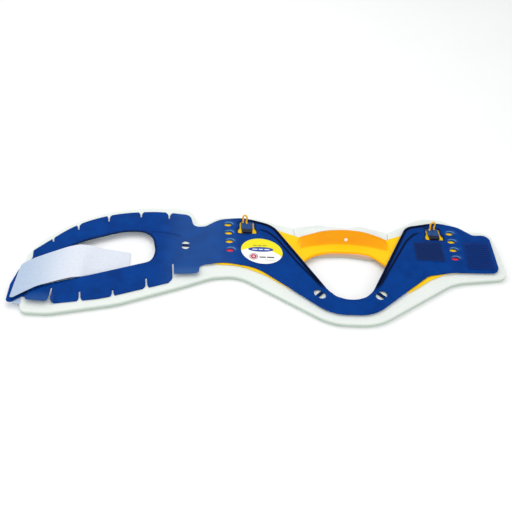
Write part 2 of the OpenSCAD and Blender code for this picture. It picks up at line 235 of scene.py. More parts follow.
def cut_sheet(name, edge, holes, top, thick, gap, rim, rim_steps=3, lines=(), rings=(), bottom=None):
    """A sheet cut to a closed outline with holes, in millimetres. top gives the height of its upper face
    at each point, lines and rings are places where the face needs extra points, rim is the rounding."""
    loops = [spaced(loop, gap) for loop in [edge, *holes]]
    points, links = [], []
    for line, closed in (
        [(loop, True) for loop in loops]
        + [(spaced(ring, gap), True) for ring in rings]
        + [(spaced(line, gap, False), False) for line in lines]
    ):
        start, count = len(points), len(line)
        points += line
        links += [(start + i, start + (i + 1) % count) for i in range(count if closed else count - 1)]
    tree = kdtree.KDTree(len(points))
    for i, p in enumerate(points):
        tree.insert((p[0], p[1], 0), i)
    tree.balance()
    corners = np.array([tuple(p) for p in loops[0]])
    low, high = corners.min(0), corners.max(0)
    rows = int((high[1] - low[1]) / (gap * 0.866)) + 1
    columns = int((high[0] - low[0]) / gap) + 1
    field = np.array(
        [
            (low[0] + (c + 0.5 * (r % 2)) * gap, low[1] + r * gap * 0.866)
            for r in range(rows)
            for c in range(columns)
        ]
    )
    keep = inside(field, loops[0])
    for loop in loops[1:]:
        keep &= ~inside(field, loop)
    points += [Vector(p) for p in field[keep] if tree.find((p[0], p[1], 0))[2] > gap * 0.62]
    flat, _, triangles, *_ = delaunay_2d_cdt(points, links, [], 0, 1e-4)
    flat = np.array([tuple(p) for p in flat])
    triangles = np.array([tuple(t) for t in triangles])
    middles = flat[triangles].mean(1)
    keep = inside(middles, loops[0])
    for loop in loops[1:]:
        keep &= ~inside(middles, loop)
    triangles = triangles[keep]
    a, b, c = (flat[triangles[:, k]] for k in range(3))
    area = (b[:, 0] - a[:, 0]) * (c[:, 1] - a[:, 1]) - (b[:, 1] - a[:, 1]) * (c[:, 0] - a[:, 0])
    triangles[area < 0] = triangles[area < 0][:, ::-1]
    used, triangles = np.unique(triangles, return_inverse=True)
    triangles = triangles.reshape(-1, 3)
    flat = flat[used]

    sides = {(int(t[i]), int(t[(i + 1) % 3])) for t in triangles for i in range(3)}
    border = sorted(s for s in sides if (s[1], s[0]) not in sides)
    inward = np.zeros_like(flat)
    for i, j in border:
        way = flat[j] - flat[i]
        normal = np.array((-way[1], way[0])) / max(np.hypot(*way), 1e-9)
        inward[i] += normal
        inward[j] += normal
    length = np.hypot(*inward.T)
    on_border = length > 1e-6
    inward[on_border] /= length[on_border, None]
    upper = top(flat)
    lower = upper - thick if bottom is None else bottom(flat)
    rim_of = np.minimum(rim, (upper - lower) * 0.49)

    ids = np.full(len(flat), -1)
    ids[on_border] = np.arange(on_border.sum())
    ring_flat, ring_in, ring_up, ring_low, ring_rim = (
        v[on_border] for v in (flat, inward, upper, lower, rim_of)
    )
    angles = [math.pi / 2 * k / rim_steps for k in range(rim_steps + 1)]
    rings_3d = [(1 - math.sin(q), 1 - math.cos(q), True) for q in angles]
    rings_3d += [(1 - math.sin(q), 1 - math.cos(q), False) for q in reversed(angles)]
    body = np.column_stack([flat, upper])
    body[on_border, :2] += inward[on_border] * rim
    under = np.column_stack([flat, lower])
    under[on_border, :2] += inward[on_border] * rim
    vertices = [body, under]
    for shift, drop, above in rings_3d[1:-1]:
        height = ring_up - drop * ring_rim if above else ring_low + drop * ring_rim
        vertices.append(np.column_stack([ring_flat + ring_in * shift * rim, height]))
    count, ring_count = len(flat), len(ring_flat)
    faces = [tuple(t) for t in triangles] + [tuple(t[::-1] + count) for t in triangles]

    def ring_id(level, i):
        if level == 0:
            return i
        if level == len(rings_3d) - 1:
            return i + count
        return 2 * count + (level - 1) * ring_count + ids[i]

    for i, j in border:
        for level in range(len(rings_3d) - 1):
            faces.append((ring_id(level, i), ring_id(level + 1, i), ring_id(level + 1, j), ring_id(level, j)))
    return solid(name, np.vstack(vertices), faces)


def solid(name, vertices, faces, sharp=32):
    """A smooth-shaded mesh object from millimetres, with edges sharper than that angle kept crisp."""
    mesh = bpy.data.meshes.new(name)
    corners = [tuple(v * MM) for v in np.asarray(vertices, float)]
    mesh.from_pydata(corners, [], [tuple(map(int, f)) for f in faces])
    mesh.validate()
    mesh.shade_smooth()
    mesh.set_sharp_from_angle(angle=math.radians(sharp))
    made = bpy.data.objects.new(name, mesh)
    bpy.context.scene.collection.objects.link(made)
    return made


def painted(piece, name, value):
    """Stores a number at each point of a piece, worked out by value from the points in millimetres."""
    mesh = piece.data
    places = np.array([v.co for v in mesh.vertices]) / MM
    layer = mesh.attributes.new(name, "FLOAT", "POINT")
    layer.data.foreach_set("value", np.asarray(value(places), np.float32))


def shifted(corners, by=front_x):
    return [(x + by, y, r) for x, y, r in corners]


front_edge = shifted(
    [(-128, -21, 40), (-26, -88.5, 60), (26, -88.5, 60), (126, -22.5, 60), (194, -13, 14), (194, 30, 30)]
    + [(191, 64, 12), (160, 66, 14), (132, 87, 30), (104, 86, 30), (78, 70, 30), (59, 58, 4), (52, 4, 3)]
    + [(19, -54, 28), (-19, -54, 28), (-52, 4, 3), (-59, 61.5, 4), (-78, 66.5, 30), (-104, 76, 30)]
    + [(-150, 76, 24), (-168, 62, 12)]
)
rear_edge = [
    (-86, 62, 12), (-92, 87, 14), (-112, 88.5, 60), (-146, 88.5, 120), (-190, 80, 160), (-234, 55, 100),
    (-263, 25, 30), (-276, 1, 16), (-277, -40, 30), (-268, -83, 8), (-240, -84, 60), (-170, -68.5, 120),
    (-100, -40, 60), (-67, -25, 40),
]
rear_opening = [
    (-138, 42.5, 20), (-132, 10, 34), (-136.5, -5, 12), (-200, -28.5, 160), (-246, -45, 60),
    (-262, -49, 10), (-252, 2, 40), (-212, 26, 110), (-168, 44, 60),
]
foam_opening = [
    (-136, 49.5, 22), (-129, 10, 34), (-136.5, -5, 12), (-200, -28.5, 160), (-246, -45, 60),
    (-262, -49, 10), (-253, 8, 40), (-212, 33, 110), (-168, 51, 60),
]
under_ties = [(front_x - 36.5, -49), (front_x + 34, -48.3)]


def foam_top(p):
    """The skin's height: slightly uneven, flat under the rear shell and raised under the tie holes."""
    wave = np.sin(p[:, 0] / 23) * np.cos(p[:, 1] / 17) + 0.5 * np.sin(p[:, 0] / 9 + p[:, 1] / 11)
    raised = sum(1 - ease(5, 10, np.hypot(p[:, 0] - x, p[:, 1] - y)) for x, y in under_ties)
    return foam_thick - 0.12 + 0.08 * wave * ease(hinge_x - 6, hinge_x + 20, p[:, 0]) + raised


foam_rim = 1.9
foam = cut_sheet(
    "foam_lining", rounded(front_edge + rear_edge), [rounded(foam_opening)], foam_top, foam_thick - 0.12,
    4.5, foam_rim, rim_steps=5, bottom=lambda p: np.zeros(len(p)),
)

# Closed-cell polyethylene foam, slit from a block: chalky white skin with fine open cells, no gloss
foam_skin, shader, where = new_material(
    "closed-cell polyethylene foam",
    Roughness=0.82,
    Subsurface_Weight=0.15,
    Subsurface_Radius=(0.004, 0.004, 0.003),
)
cell_size = 0.9 * MM
cloud_size = 26 * MM
cells = node(foam_skin, "ShaderNodeTexVoronoi", Vector=where, Scale=1 / cell_size)
cloud = node(foam_skin, "ShaderNodeTexNoise", Vector=where, Scale=1 / cloud_size, Detail=3.0)
height = node(foam_skin, "ShaderNodeSeparateXYZ", Vector=where).outputs["Z"]
side_shade = node(foam_skin, "ShaderNodeMapRange", Value=height, From_Min=3.8 * MM, From_Max=6.5 * MM)
side, face = linear("#b9c8bc"), linear("#e8eee9")
tone = node(foam_skin, "ShaderNodeMix", colour_mix, _0=side_shade.outputs["Result"], A=side, B=face)
patch = node(foam_skin, "ShaderNodeMapRange", Value=cloud.outputs["Fac"], To_Min=0.93, To_Max=1.03)
mottle = node(
    foam_skin, "ShaderNodeMix", colour_product, _0=0.5, A=tone.outputs["Result"], B=patch.outputs["Result"]
)
dents = node(foam_skin, "ShaderNodeBump", Height=cells.outputs["Distance"], Strength=0.35, Distance=0.12 * MM)
node(foam_skin, shader, Base_Color=mottle.outputs["Result"], Normal=dents.outputs["Normal"])
foam.data.materials.append(foam_skin)

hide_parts("front_foam", "rear_foam")
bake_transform(foam)


# ---- Moulded shell ----
# The collar's stiff part: one sheet of royal-blue polyethylene, pressed and punched from flat stock.
# It has a rolled edge and a rib along the windpipe opening, hooded height windows, tie holes crossed
# by a bar, and relief slits that let the rear panel bend. Two tabs at its lower edge are bent up.

shell_thick = 1.4
front_top = 10.0
rear_top = foam_thick + shell_thick
tip_x = -285
lock_x = 116
tab_root = 65.5
foot_y = 49.4
step = 14.5

arm_top = [(82.3, 66, 18), (124, 76.5, 50), (150, 70, 24), (166, 56, 7)]
waist_arm_top = [(-166, 55, 10), (-150, 68, 30), (-122, 73, 60), (-84, 60.5, 28)]
shell_edge = (
    shifted([(18.4, -56, 30), *arm_top, (187, 57, 9), (184, -8, 11), (128, -9, 50), (96, -15.5, 20)])
    + shifted([(22, -78, 46), (-26, -78, 46), (-107, -10.3, 50), (-143, -3.8, 40), (-165, -8, 15)])
    + [(-80.5, -10.5, 2), (-81.5, -24.5, 4.5), (-109.5, -26.5, 3), (-109.6, -35.4, 2), (-185, -63, 120)]
    + [(-238, -72.5, 3), (-264, -71, 5), (-267, -61, 3), (tip_x, -76, 4), (tip_x, -46, 20)]
    + [(-280, -24, 14), (-268.5, -6, 6), (-269.8, 6, 4), (-228, 52.5, 120), (-185, 73.5, 160)]
    + [(-135, 80.5, 160), (-94, 76, 9), (-89, 55, 9)]
    + shifted([*waist_arm_top, (-20, -56, 30)])
)

window_size = (9.2, 5.1)
window_low = ((-136.8, 15.8), (134.3, 13.8))
window_lean = 0.8
windows = [
    (front_x + window_low[arm][0] + i * (2 * arm - 1) * window_lean, window_low[arm][1] + i * step)
    for arm in (0, 1)
    for i in range(4)
]
slits = [
    (-252, 30, 14, 8), (-226, 52.5, 10, 9), (-192, 70, 6, 10), (-154, 78, 4, 8.5), (-119.7, 78, 1, 9),
    (-239.6, -72.5, 182, 22), (-207.9, -67.5, 188, 13), (-173.5, -60, 188, 9), (-138.2, -46, 187, 14),
    (-109.5, -34, 184, 26),
]
tie_holes = [(*under_ties[0], 46, 5.8, 7.6), (*under_ties[1], -46, 5.8, 7.6), (-98, 23.4, 0, 5.2, 6.8)]
tie_bar = 3
strap_slot = (Vector((-272.5, -20)), Vector((-279.5, -65)))


def half_hole(x, y, turned, wide, high, side):
    """One of the two openings that a tie hole's bar leaves."""
    spin = Matrix.Rotation(math.radians(turned), 2)
    rise = tie_bar / 2 / high
    first = math.degrees(math.asin(rise)) + 4
    arc = [math.radians(first + (180 - 2 * first) * k / 12) for k in range(13)]
    return [Vector((x, y)) + spin @ (Vector((math.cos(a) * wide, math.sin(a) * high)) * side) for a in arc]


def slit(x, y, turned, depth):
    """A narrow cut from the edge: lips that round off at the mouth and a round end."""
    spin = Matrix.Rotation(math.radians(turned), 2)
    flank = [(6, 4), (4.4, 0.9), (3.1, -0.5), (1.9, -1.9), (1.2, -3.6), (0.9, -5.4)]
    flank += [(0.8, 1.4 - depth), (1.05, 0.6 - depth)]
    tip = [(1.0, -depth), (0.6, -0.8 - depth)]
    right_side = flank + tip
    loop = right_side + [(-a, b) for a, b in reversed(right_side)]
    return [Vector((x, y)) + spin @ Vector(p) for p in loop]


lock_top_half = 8.8
lock_low_half = 11.2
lock_window = [
    (-lock_top_half, tab_root, 1.2), (-lock_top_half, foot_y + 6, 3), (-lock_low_half, foot_y + 1, 3),
    (-lock_low_half, 45.4, 1.5), (lock_low_half, 45.4, 1.5), (lock_low_half, foot_y + 1, 3),
    (lock_top_half, foot_y + 6, 3), (lock_top_half, tab_root, 1.2),
]
run = (strap_slot[0] - strap_slot[1]).normalized()
across_slot = Vector((-run.y, run.x)) * 2
slot_loop = [end + across_slot for end in strap_slot[:2]] + [end - across_slot for end in strap_slot[1::-1]]
shell_holes = [oval(x, y, *window_size) for x, y in windows]
shell_holes += [rounded(shifted(lock_window, front_x + side * lock_x), steps=3) for side in (-1, 1)]
shell_holes += [half_hole(*hole, side) for hole in tie_holes for side in (-1, 1)]
shell_holes += [slit(*s) for s in slits]
shell_holes += [rounded(rear_opening), slot_loop]

v_edges = [
    rounded(shifted([(side * x, y, r) for x, y, r in corners]), closed=False)
    for side, corners in (
        (1, [(146, 70.5, 0), (124, 76.5, 50), (82.3, 66, 18), (18.4, -56, 30), (6, -56, 0)]),
        (-1, [(140, 69.5, 0), (122, 73, 60), (84, 60.5, 28), (20, -56, 30), (6, -56, 0)]),
    )
]
ribs = [
    rounded(shifted([(side * x, y, r) for x, y, r in corners]), closed=False)
    for side, corners in (
        (1, [(103, 59, 0), (90, 53, 20), (79, 41, 30), (50, -8, 0), (31, -41, 0)]),
        (-1, [(107, 54.5, 0), (90, 48.5, 20), (80, 36, 30), (60, 1, 0), (30, -44, 0)]),
    )
]
opening_crease = rounded([(-138, 43.5, 0), (-126, 43.5, 30), (-110, 39.8, 20), (-100, 35.5, 0)], closed=False)


def beside(line, by):
    """A line that runs beside another."""
    points = [Vector(p) for p in line]
    moved = []
    for i, p in enumerate(points):
        way = (points[min(i + 1, len(points) - 1)] - points[max(i - 1, 0)]).normalized()
        moved.append(p + Vector((-way.y, way.x)) * by)
    return moved


feature_lines = [beside(line, by) for line in ribs for by in (-1.9, -1.1, -0.5, 0, 0.5, 1.1, 1.9)]
feature_lines += [beside(opening_crease, by) for by in (-1.6, -0.6, 0.3, 1.2)]
for line, side in zip(v_edges, (-1, 1)):
    feature_lines += [beside(line, by * side) for by in (-0.6, -1.1, -1.9, -2.7, -3.4, -4.1)]
window_rings = [
    oval(x, y, window_size[0] + wider, window_size[1] + wider, count=30)
    for x, y in windows
    for wider in (1.6, 3.0, 4.4, 6.2)
]
dots = [(front_x + 82, -9), (-103, 7.2)]
dot_rings = [oval(x, y, d, d, count=14) for x, y in dots for d in (1.4, 2.8, 4.4, 7.5)]

# bent-up tabs: from x, to x, y where the bend starts, y of the free edge, lift
bent_tabs = [(-110, -79, -9, -25, 3.8), (-266, -237, -52, -72, 4.4)]


def lift(p):
    """How far a tab is bent up at each point."""
    rise = np.zeros(len(p))
    for x0, x1, y0, y1, by in bent_tabs:
        reach = ease(0, 1, (y0 - p[:, 1]) / (y0 - y1)) * ease(x0 - 0.4, x0 + 0.4, p[:, 0])
        rise += by * reach * (1 - ease(x1 - 1, x1 + 3, p[:, 0]))
    return rise


def hood(p):
    """Height of the pressed hood over each window, from 0 to 1."""
    result = np.zeros(len(p))
    for x, y in windows:
        dx = (p[:, 0] - x - 0.9) / (window_size[0] / 2 + 0.9)
        dy = (p[:, 1] - y) / (window_size[1] / 2 + 1.5)
        ring = np.exp(-(((np.hypot(dx, dy) - 1) * 5.6) ** 2))
        facing = np.clip(np.sin(np.arctan2(dy, dx) - math.radians(-16)), 0, 1)
        result = np.maximum(result, ring * facing**1.3)
    return result


def shell_top(p):
    level = rear_top + (front_top - rear_top) * ease(-93, -70, p[:, 0])
    for line in v_edges:
        gap, part = near(p, line)
        level = level + 0.9 * (1 - ease(1.7, 3.0, gap)) * ease(0, 0.18, part) * (1 - ease(0.93, 1.0, part))
    for line in ribs:
        gap, part = near(p, line)
        level = level + 1.0 * (1 - ease(0.5, 1.8, gap)) * ease(0, 0.06, part) * (1 - ease(0.94, 1.0, part))
    gap, part = near(p, opening_crease)
    level = level - 0.45 * np.exp(-((gap / 0.9) ** 2)) * (1 - ease(0.8, 1, part))
    for x, y in dots:
        gap = np.hypot(p[:, 0] - x, p[:, 1] - y)
        level = level + 0.6 * (1 - ease(0.6, 1.5, gap)) - 0.25 * np.exp(-((gap - 2.7) ** 2) / 0.6)
    for x, y, turned, *_ in tie_holes:
        spin = math.radians(turned)
        along = (p[:, 0] - x) * math.cos(spin) + (p[:, 1] - y) * math.sin(spin)
        aside = (p[:, 1] - y) * math.cos(spin) - (p[:, 0] - x) * math.sin(spin)
        bar = (1 - ease(1.2, 2.4, np.abs(aside))) * (1 - ease(2.5, 6, np.abs(along)))
        level = level - 0.7 * bar
    return level + 1.1 * hood(p) + lift(p)


shell = cut_sheet(
    "moulded_shell", rounded(shell_edge), shell_holes, shell_top, shell_thick, 3.6, 0.5,
    lines=feature_lines, rings=window_rings + dot_rings,
)


def shell_shade(p):
    """Painted shade: 1 where the plastic lies in a fold or on a steep flank, or by the edge of a hole, and is
    painted nearly navy.
    """
    flat = p[:, :2]
    shade = np.zeros(len(p))
    for line in v_edges:
        gap, part = near(flat, line)
        band = ease(0.2, 0.9, gap) * (1 - ease(3.4, 4.3, gap))
        shade = np.maximum(shade, band * ease(0.02, 0.2, part) * ease(-46, -34, flat[:, 1]))
    for line in ribs:
        gap, part = near(flat, line)
        along = ease(0, 0.1, part) * (1 - ease(0.9, 1.0, part))
        shade = np.maximum(shade, 0.95 * (1 - ease(0.8, 1.7, gap)) * along)
    gap, part = near(flat, opening_crease)
    shade = np.maximum(shade, 0.55 * np.exp(-((gap / 1.0) ** 2)) * (1 - ease(0.7, 1, part)))
    gap, _ = near(flat, rounded(rear_opening), closed=True)
    upper_side = ease(8, 24, flat[:, 1]) + ease(-150, -128, flat[:, 0])
    shade = np.maximum(shade, 0.8 * (1 - ease(0.3, 1.3, gap)) * np.clip(upper_side, 0, 1))
    for x, y, turned, wide, high in tie_holes:
        away = np.hypot(flat[:, 0] - x, flat[:, 1] - y)
        shade = np.maximum(shade, 0.75 * (1 - ease(wide - 1.5, wide + 0.3, away)))
    for side in (-1, 1):
        gap, _ = near(flat, rounded(shifted(lock_window, front_x + side * lock_x), steps=3), closed=True)
        shade = np.maximum(shade, 0.75 * (1 - ease(0.3, 1.4, gap)))
    return shade


def shell_painted_highlight(p):
    """Painted highlight: 1 on the light-facing side of the hoods, on the bent tabs and faintly at the waist,
    which are painted paler blue.
    """
    tabs = lift(p[:, :2]) / 4
    waist = 0.1 * ease(-135, -95, p[:, 0]) * (1 - ease(-70, -20, p[:, 0]))
    return np.clip(hood(p[:, :2]) * 1.3 + 0.12 * tabs + waist, 0, 1)


# Painted shade in the folds, grooves and by the edges of holes
painted(shell, "shade", shell_shade)
# Painted highlight on the hoods, the bent tabs and the waist
painted(shell, "painted_highlight", shell_painted_highlight)

# Polyethylene sheet from a satin mould: saturated blue, broad soft gloss, a grain too fine to see
# singly and faint flow clouds; a painted highlight makes the hoods, the bent tabs and the waist paler,
# and painted shade darkens folds, grooves and hole edges to navy
shell_blue, shader, where = new_material("moulded polyethylene, royal blue", Specular_IOR_Level=0.04)
cloud_size = 16 * MM
grain_size = 0.7 * MM
cloud = node(shell_blue, "ShaderNodeTexNoise", Vector=where, Scale=1 / cloud_size, Detail=5.0).outputs["Fac"]
clouds = node(shell_blue, "ShaderNodeMapRange", Value=cloud, From_Min=0.3, From_Max=0.7).outputs["Result"]
base = node(shell_blue, "ShaderNodeMix", colour_mix, _0=clouds, A=linear("#00337c"), B=linear("#003e8f"))
painted_highlight = node(shell_blue, "ShaderNodeAttribute", {"attribute_name": "painted_highlight"}).outputs["Fac"]
paler = node(shell_blue, "ShaderNodeMix", colour_mix, _0=painted_highlight, A=base.outputs["Result"], B=linear("#6798c6"))
# Painted shade: the stored attribute darkens the blue towards navy
painted_fold_shade = node(shell_blue, "ShaderNodeAttribute", {"attribute_name": "shade"}).outputs["Fac"]
paler = paler.outputs["Result"]
deeper = node(shell_blue, "ShaderNodeMix", colour_mix, _0=painted_fold_shade, A=paler, B=linear("#000a26"))
grain = node(shell_blue, "ShaderNodeTexNoise", Vector=where, Scale=1 / grain_size, Detail=3.0).outputs["Fac"]
satin = node(shell_blue, "ShaderNodeBump", Height=grain, Strength=0.25, Distance=0.08 * MM).outputs["Normal"]
gloss = node(shell_blue, "ShaderNodeMapRange", Value=cloud, To_Min=0.36, To_Max=0.5).outputs["Result"]
node(shell_blue, shader, Base_Color=deeper.outputs["Result"], Roughness=gloss, Normal=satin)
shell.data.materials.append(shell_blue)

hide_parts("front_panel", "rear_panel")
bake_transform(shell)

# The studs that hang from the shell, and the rivets of the strap, are the CAD's own
stud_blue = shell_blue.copy()
stud_blue.name = "moulded polyethylene, studs"


def dressed(name, material):
    """Gives a CAD piece that stays in view its material."""
    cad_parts[name].data.materials.clear()
    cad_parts[name].data.materials.append(material)


for side in ("left", "right"):
    dressed(f"{side}_guide_studs", stud_blue)


# ---- Chin support ----
# One yellow polyethylene moulding: two flat wings that slide under the shell, joined by a narrow shelf
# with a turned-down lip and by a curved wall that stands up to carry the chin.

wing_low = foam_thick + 0.3
wing_top = wing_low + 1.0
bridge = 53
wall_high = 16
travel = 3 * step


def wall_foot(x):
    return 24 + 9 * (1 - (x / bridge) ** 2)


def wall_rise(x):
    return 3.5 + (wall_high - 3.5) * (1 - abs(x / bridge) ** 2.4)


def wall_lean(x):
    return 8 + 7 * abs(x / bridge) ** 3


def lip_line(x):
    return 19 - 15 * abs(x / 49) ** 3 - 6 * ((min(max(x, 25), 45) - 25) / 20) ** 2


across = [x * 49 / 16 for x in range(-16, 17)]
lip = [Vector((x, lip_line(x))) for x in across]
wing = [(56, -6, 10), (64, -44.5, 4), (80, -33.5, 8), (97, -21, 14), (118, -10.5, 30), (132, -7, 40)]
wing += [(160, -6, 8), (158, 50, 12), (134, 67, 12), (94, 61, 8), (78, 54, 6), (56, 44.5, 3), (50.5, 42, 1)]
right_wing, mirrored_wing = (
    rounded([(49, lip_line(x), 0), *wing, (50, wall_foot(50) + 3, 0)], closed=False)[1:-1] for x in (49, -49)
)
wall_back = [Vector((x, wall_foot(x) + 3)) for x in reversed(across)]
left_wing = [Vector((-p.x, p.y)) for p in reversed(mirrored_wing)]
chin_outline = [p + Vector((front_x, 0)) for p in lip + right_wing + wall_back + left_wing]

peg_slot_half = 3.1
stud_places = [(98, 42), (125, 42)]
wing_holes = []
for side in (-1, 1):
    middle = front_x + side * lock_x
    low, high = foot_y - 3.1 - travel, foot_y + 3.1
    notched = [(peg_slot_half, low)]
    for i in reversed(range(4)):
        y = foot_y - i * step
        notched += [(peg_slot_half, y - 1.25), (peg_slot_half + 1.2, y - 1.25)]
        notched += [(peg_slot_half + 1.2, y + 1.25), (peg_slot_half, y + 1.25)]
    notched += [(peg_slot_half, high)]
    loop = notched + [(-x, y) for x, y in reversed(notched)]
    wing_holes.append([Vector((middle + x, y)) for x, y in loop])
    for x, y in stud_places:
        bottom_y = y - travel
        ends = [(x - 2.5, bottom_y - 2.5, 2.4), (x + 2.5, bottom_y - 2.5, 2.4)]
        ends += [(x + 2.5, y + 2.5, 2.4), (x - 2.5, y + 2.5, 2.4)]
        wing_holes.append([Vector((front_x + side * (p.x), p.y)) for p in rounded(ends, steps=4)])


def wing_height(p):
    """The wings' upper face, with the lip turned down and the shelf dished a little."""
    x = p[:, 0] - front_x
    behind_lip = p[:, 1] - np.array([lip_line(v) for v in np.clip(x, -49, 49)])
    on_shelf = 1 - ease(46, 52, np.abs(x))
    turned_down = (1 - ease(0, 2.6, behind_lip)) * on_shelf
    dish = np.sin(np.clip(behind_lip / 14, 0, 1) * math.pi) * on_shelf
    return wing_top + 0.1 * dish - 1.3 * turned_down


lip_lines = [[Vector((front_x + x, lip_line(x) + by)) for x in across] for by in (0.9, 1.8, 2.7, 6)]
chin_plate = cut_sheet(
    "chin_support_moulding", chin_outline, wing_holes, wing_height, 1.0, 3.6, 0.35, lines=lip_lines
)

stations = [-56, -54.6] + [x * bridge / 22 for x in range(-22, 23)] + [54.6, 56]
wall_points = []
for x in stations:
    held = max(-bridge, min(bridge, x))
    fade = 1 - 0.84 * float(ease(bridge, 56, abs(x)))
    y, h, b = wall_foot(held), wall_rise(held) * fade, wall_lean(held) * fade
    section = [
        (-4.2, -0.15), (-2.2, 0.12), (-0.9, 0.7), (0.2, 1.3), (0.25 * b + 0.2, 0.27 * h), (0.5 * b, 0.5 * h),
        (0.75 * b, 0.75 * h - 0.2), (b - 0.1, h - 0.9), (b + 0.1, h - 0.3), (b + 0.6, h), (b + 1.1, h - 0.2),
        (b + 1.5, h - 0.9), (0.75 * b + 1.6, 0.77 * h - 0.4), (0.4 * b + 1.9, 0.4 * h),
        (2.4, 0.2), (2.6, -0.8), (-4, -0.9),
    ]
    wall_points += [(front_x + x, y + dy, max(wing_top + dz, wing_low + 0.05)) for dy, dz in section]
ring = len(section)
wall_faces = [tuple(range(ring)), tuple(range(ring * len(stations) - 1, ring * (len(stations) - 1) - 1, -1))]
for s in range(len(stations) - 1):
    for k in range(ring):
        a, b = s * ring + k, s * ring + (k + 1) % ring
        wall_faces.append((a, a + ring, b + ring, b))
chin_wall = solid("chin_wall", wall_points, wall_faces, sharp=50)


def painted_wall_shade(p):
    """Painted shade: 1 on the standing wall and the lip, which are painted orange where they turn away from
    the light.
    """
    x = p[:, 0] - front_x
    foot = np.array([wall_foot(v) for v in np.clip(x, -bridge, bridge)])
    standing = ease(-1.6, 0.6, p[:, 1] - foot) * (1 - ease(52.5, 54, np.abs(x)))
    lip_y = np.array([lip_line(v) for v in np.clip(x, -49, 49)])
    at_lip = 0.85 * (1 - ease(1.2, 2.8, p[:, 1] - lip_y)) * (1 - ease(46, 51, np.abs(x)))
    return np.clip(standing * ease(wing_top - 0.2, wing_top + 0.6, p[:, 2]) + at_lip, 0, 1)


# The "thick" attribute holds painted shade: it turns the standing wall and the lip orange
for piece in (chin_plate, chin_wall):
    painted(piece, "thick", painted_wall_shade)

# Yellow polyethylene, injection moulded: warm, slightly translucent, smoother than the blue sheet;
# the wall that stands up and the lip are painted orange, as painted shade
chin_yellow, shader, where = new_material(
    "moulded polyethylene, yellow", Roughness=0.38, Specular_IOR_Level=0.12
)
cloud = node(chin_yellow, "ShaderNodeTexNoise", Vector=where, Scale=1 / (22 * MM), Detail=3.0).outputs["Fac"]
light_part, shaded_part = (
    node(chin_yellow, "ShaderNodeMix", colour_mix, _0=cloud, A=linear(a), B=linear(b)).outputs["Result"]
    for a, b in (("#ffc904", "#ffd614"), ("#fb9d00", "#ffae04"))
)
# Painted shade: the stored attribute mixes the orange tones into the yellow
thick = node(chin_yellow, "ShaderNodeAttribute", {"attribute_name": "thick"}).outputs["Fac"]
tone = node(chin_yellow, "ShaderNodeMix", colour_mix, _0=thick, A=light_part, B=shaded_part)
flow = node(chin_yellow, "ShaderNodeTexNoise", Vector=where, Scale=1 / (2.2 * MM), Detail=2.0).outputs["Fac"]
orange_peel = node(chin_yellow, "ShaderNodeBump", Height=flow, Strength=0.12, Distance=0.1 * MM)
node(chin_yellow, shader, Base_Color=tone.outputs["Result"], Normal=orange_peel.outputs["Normal"])

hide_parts("chin_support")
for piece in (chin_plate, chin_wall):
    piece.data.materials.append(chin_yellow)
    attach(piece, "chin")


# ---- Chin pad ----
# A soft block of the same white foam behind the chin wall. Its back edge is cut in a wave, and its
# front edge shows under the shelf's lip, where it is painted darker and warmer: painted shade with a
# painted warm reflection of the yellow plastic.

pad_low = [
    (48, 19, 5), (40, 14.5, 5), (31, 13.5, 10), (18, 16, 20), (0, 18.3, 40), (-16, 17.2, 40), (-29, 16.2, 20),
    (-40, 15.5, 6), (-48, 19, 5), (-56.8, 42, 4),
]
pad_high = [
    (-58.8, 60.5, 4), (-52, 63.5, 6), (-24, 69, 16), (0, 61, 10), (24, 69, 16), (52, 60.5, 6),
    (58.8, 56.5, 4), (56.8, 42, 4),
]
crest_half = 50
# thickness of the crest behind the wall, at places along it
crest_places = [-52, -39, -26, -14, 0, 5, 10, 17, 26, 35, 44, 50]
crest_depths = [14, 15, 12.4, 12.1, 10.6, 9.4, 8.4, 11.2, 13.2, 13.8, 11.2, 9.2]


def crest_back(x):
    """How far behind the wall the crest reaches: thinner at the middle, where the wave dips."""
    return np.interp(x, crest_places, crest_depths) - 3.4


def pad_height(p):
    x = p[:, 0] - front_x
    held = np.clip(x, -bridge, bridge)
    foot = 24 + 9 * (1 - (held / bridge) ** 2) + 2.3
    high = 0.9 + 3.5 + (wall_high - 3.5) * (1 - np.abs(held / bridge) ** 2.4)
    lean = 8 + 7 * np.abs(held / bridge) ** 3
    behind = p[:, 1] - foot
    front_slope = np.clip(behind / lean, 0, 1)
    back_fall = 1 - ease(0, 6, behind - lean - crest_back(x) + 2.5)
    ends = 1 - ease(crest_half - 3, crest_half + 5, np.abs(x))
    wave = 0.8 * np.cos(np.radians(x * 7.2))
    return foam_thick - 0.15 + (high - 0.6 - wave) * front_slope * back_fall * ends


crest_x = [x * 50 / 14 for x in range(-14, 15)]
crest_lines = [
    [Vector((front_x + x, wall_foot(x) + 2.3 + by(x))) for x in crest_x]
    for by in (
        lambda x: 0,
        lambda x: wall_lean(x) * 0.5,
        lambda x: wall_lean(x),
        lambda x: wall_lean(x) + float(crest_back(x)) * 0.5,
        lambda x: wall_lean(x) + float(crest_back(x)) - 1,
        lambda x: wall_lean(x) + float(crest_back(x)) + 1.5,
        lambda x: wall_lean(x) + float(crest_back(x)) + 3.8,
    )
]
chin_pad = cut_sheet(
    "chin_pad_foam", rounded(shifted(pad_low + pad_high)), [], pad_height, foam_thick, 3.0, 1.6, rim_steps=5,
    lines=crest_lines, bottom=lambda p: np.zeros(len(p)),
)


def under_lip_shade_of(p):
    """Painted shade with a painted warm reflection of the yellow: 1 on the pad's front face, under the yellow
    lip, fading over the first millimetres.
    """
    x = p[:, 0] - front_x
    edge_x, edge_y, _ = zip(*reversed(pad_low))
    front_y = np.interp(x, edge_x, edge_y)
    return (1 - ease(0.5, 5, p[:, 1] - front_y)) * (0.35 + 0.65 * ease(1, 6, p[:, 2]))


painted(chin_pad, "under_lip_shade", under_lip_shade_of)
